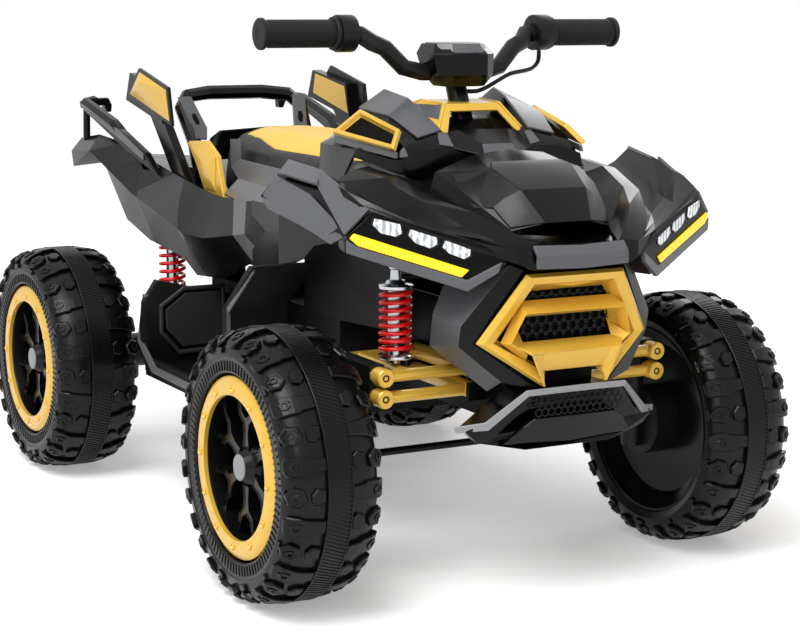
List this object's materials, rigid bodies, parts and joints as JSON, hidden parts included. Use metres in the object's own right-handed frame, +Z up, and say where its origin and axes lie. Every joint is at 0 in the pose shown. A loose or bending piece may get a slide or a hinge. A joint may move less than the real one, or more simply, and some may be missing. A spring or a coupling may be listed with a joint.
{
  "type": "electric ride-on quad",
  "caption": "Battery-powered child's ride-on quad with faceted panels, sprung suspension, steerable front wheels and chunky tyres.",
  "frame": {"origin": "on the ground, under the middle of the vehicle", "axes": "+Z up, the front towards -Y, the rider's left +X"},
  "size_m": [0.718, 1.134, 0.6875],
  "materials": {
    "gloss_body": "semi-gloss injection moulded black plastic",
    "matte_frame": "matte black moulded plastic",
    "grey_plastic": "matte dark grey plastic",
    "gold_plastic": "satin metallic gold-yellow paint on plastic",
    "tyre": "moulded black tread with a ribbed centre band",
    "soft_rubber": "matte black",
    "seat_vinyl": "smooth black vinyl with a gold patch",
    "spring_steel": "gloss red powder coat",
    "bright_steel": "bright plated",
    "black_steel": "satin black powder coat"
  },
  "bodies": {
    "chassis": {"backrest_bar": "gloss_body", "battery": "grey_plastic", "chassis_tub": "matte_frame", "cowl": "gloss_body", "dash_trim": "gold_plastic", "front_body": "gloss_body", "front_bumper": "gloss_body", "front_damper_tube_left": "bright_steel", "front_damper_tube_right": "bright_steel", "front_spring_left": "spring_steel", "front_spring_right": "spring_steel", "grille_frame": "gold_plastic", "grille_mesh": "matte_frame", "headlamp_left": "grey_plastic", "headlamp_right": "grey_plastic", "rear_body": "gloss_body", "rear_damper_tube_left": "bright_steel", "rear_damper_tube_right": "bright_steel", "rear_spring_left": "spring_steel", "rear_spring_right": "spring_steel", "side_panel_left": "gold_plastic", "side_panel_right": "gold_plastic"},
    "steering": {"handlebar": "black_steel", "grip_left": "soft_rubber", "grip_right": "soft_rubber", "switch_pod_left": "matte_frame", "switch_pod_right": "matte_frame", "console_pod": "gloss_body", "handlebar_cable": "soft_rubber"},
    "horn_button": {"horn_button": "gold_plastic"},
    "pedal": {"accelerator_pedal": "matte_frame"},
    "tie_rod": {"tie_rod": "bright_steel"},
    "swingarm": {"rear_swingarm": "black_steel", "rear_gearbox_left": "grey_plastic", "rear_gearbox_right": "grey_plastic"},
    "seat": {"seat": "seat_vinyl"},
    "lower_arm_left": {"lower_arm_left": "gold_plastic"},
    "upper_arm_left": {"upper_arm_left": "gold_plastic"},
    "carrier_left": {"steering_carrier_left": "matte_frame"},
    "knuckle_left": {"steering_knuckle_left": "matte_frame"},
    "front_rod_left": {"front_damper_rod_left": "bright_steel"},
    "rear_rod_left": {"rear_damper_rod_left": "bright_steel"},
    "front_wheel_left": {"front_wheel_left": "gloss_body", "front_tyre_left": "tyre", "front_bead_ring_left": "gold_plastic"},
    "rear_wheel_left": {"rear_wheel_left": "gloss_body", "rear_tyre_left": "tyre", "rear_bead_ring_left": "gold_plastic"},
    "lower_arm_right": {"lower_arm_right": "gold_plastic"},
    "upper_arm_right": {"upper_arm_right": "gold_plastic"},
    "carrier_right": {"steering_carrier_right": "matte_frame"},
    "knuckle_right": {"steering_knuckle_right": "matte_frame"},
    "front_rod_right": {"front_damper_rod_right": "bright_steel"},
    "rear_rod_right": {"rear_damper_rod_right": "bright_steel"},
    "front_wheel_right": {"front_wheel_right": "gloss_body", "front_tyre_right": "tyre", "front_bead_ring_right": "gold_plastic"},
    "rear_wheel_right": {"rear_wheel_right": "gloss_body", "rear_tyre_right": "tyre", "rear_bead_ring_right": "gold_plastic"}
  },
  "joints": [
    {"name": "steer", "type": "hinge", "parent": "chassis", "child": "steering", "pos_m": [0, -0.29, 0.56], "axis": [0, 0.3987, 0.9171], "range_deg": [-28, 28]},
    {"name": "horn_press", "type": "slide", "parent": "steering", "child": "horn_button", "axis": [0, -0.8486, -0.5291], "range_m": [0, 0.0015], "stiffness_N_per_m": 150, "springref_m": -0.0012},
    {"name": "pedal_press", "type": "hinge", "parent": "chassis", "child": "pedal", "pos_m": [-0.176, 0.059, 0.184], "axis": [1, 0, 0], "range_deg": [0, 8], "stiffness_Nm_per_rad": 1.5, "springref_deg": -17.19},
    {"name": "tie_slide", "type": "slide", "parent": "chassis", "child": "tie_rod", "axis": [1, 0, 0], "range_m": [-0.0135, 0.0135]},
    {"name": "swingarm_pivot", "type": "hinge", "parent": "chassis", "child": "swingarm", "pos_m": [0, 0.235, 0.215], "axis": [1, 0, 0], "range_deg": [0, 7], "stiffness_Nm_per_rad": 90, "springref_deg": -31.51},
    {"name": "seat_lift", "type": "slide", "parent": "chassis", "child": "seat", "axis": [0, 0, 1], "range_m": [0, 0.05]},
    {"name": "lower_arm_left", "type": "hinge", "parent": "chassis", "child": "lower_arm_left", "pos_m": [0.075, -0.37, 0.2477], "axis": [0, -1, 0], "range_deg": [0, 8], "stiffness_Nm_per_rad": 60, "springref_deg": -34.38},
    {"name": "upper_arm_left", "type": "hinge", "parent": "chassis", "child": "upper_arm_left", "pos_m": [0.075, -0.37, 0.273], "axis": [0, -1, 0], "range_deg": [0, 8]},
    {"name": "carrier_left", "type": "hinge", "parent": "lower_arm_left", "child": "carrier_left", "pos_m": [0.195, -0.37, 0.2477], "axis": [0, -1, 0], "range_deg": [-8, 0]},
    {"name": "knuckle_left", "type": "hinge", "parent": "carrier_left", "child": "knuckle_left", "pos_m": [0.219, -0.37, 0.165], "axis": [0, 0, 1], "range_deg": [-14, 14]},
    {"name": "front_damper_left", "type": "slide", "parent": "chassis", "child": "front_rod_left", "axis": [0, 0, 1], "range_m": [0, 0.0125], "deforming": ["front_spring_left"]},
    {"name": "rear_damper_left", "type": "slide", "parent": "chassis", "child": "rear_rod_left", "axis": [0, 0, 1], "range_m": [0, 0.0075], "deforming": ["rear_spring_left"]},
    {"name": "front_wheel_left", "type": "hinge", "parent": "knuckle_left", "child": "front_wheel_left", "pos_m": [0.296, -0.37, 0.165], "axis": [1, 0, 0], "continuous": true},
    {"name": "rear_wheel_left", "type": "hinge", "parent": "swingarm", "child": "rear_wheel_left", "pos_m": [0.296, 0.37, 0.165], "axis": [1, 0, 0], "continuous": true},
    {"name": "lower_arm_right", "type": "hinge", "parent": "chassis", "child": "lower_arm_right", "pos_m": [-0.075, -0.37, 0.2477], "axis": [0, 1, 0], "range_deg": [0, 8], "stiffness_Nm_per_rad": 60, "springref_deg": -34.38},
    {"name": "upper_arm_right", "type": "hinge", "parent": "chassis", "child": "upper_arm_right", "pos_m": [-0.075, -0.37, 0.273], "axis": [0, 1, 0], "range_deg": [0, 8]},
    {"name": "carrier_right", "type": "hinge", "parent": "lower_arm_right", "child": "carrier_right", "pos_m": [-0.195, -0.37, 0.2477], "axis": [0, 1, 0], "range_deg": [-8, 0]},
    {"name": "knuckle_right", "type": "hinge", "parent": "carrier_right", "child": "knuckle_right", "pos_m": [-0.219, -0.37, 0.165], "axis": [0, 0, 1], "range_deg": [-14, 14]},
    {"name": "front_damper_right", "type": "slide", "parent": "chassis", "child": "front_rod_right", "axis": [0, 0, 1], "range_m": [0, 0.0125], "deforming": ["front_spring_right"]},
    {"name": "rear_damper_right", "type": "slide", "parent": "chassis", "child": "rear_rod_right", "axis": [0, 0, 1], "range_m": [0, 0.0075], "deforming": ["rear_spring_right"]},
    {"name": "front_wheel_right", "type": "hinge", "parent": "knuckle_right", "child": "front_wheel_right", "pos_m": [-0.296, -0.37, 0.165], "axis": [1, 0, 0], "continuous": true},
    {"name": "rear_wheel_right", "type": "hinge", "parent": "swingarm", "child": "rear_wheel_right", "pos_m": [-0.296, 0.37, 0.165], "axis": [1, 0, 0], "continuous": true}
  ],
  "couplings": [
    {"joint": "tie_slide", "follows": "steer", "m_per_rad": -0.026},
    {"joint": "upper_arm_left", "follows": "lower_arm_left", "ratio": 1},
    {"joint": "carrier_left", "follows": "lower_arm_left", "ratio": -1},
    {"joint": "front_damper_left", "follows": "lower_arm_left", "m_per_rad": 0.085},
    {"joint": "rear_damper_left", "follows": "swingarm_pivot", "m_per_rad": 0.06},
    {"joint": "knuckle_left", "follows": "steer", "ratio": 0.5},
    {"joint": "upper_arm_right", "follows": "lower_arm_right", "ratio": 1},
    {"joint": "carrier_right", "follows": "lower_arm_right", "ratio": -1},
    {"joint": "front_damper_right", "follows": "lower_arm_right", "m_per_rad": 0.085},
    {"joint": "rear_damper_right", "follows": "swingarm_pivot", "m_per_rad": 0.06},
    {"joint": "knuckle_right", "follows": "steer", "ratio": 0.5}
  ]
}
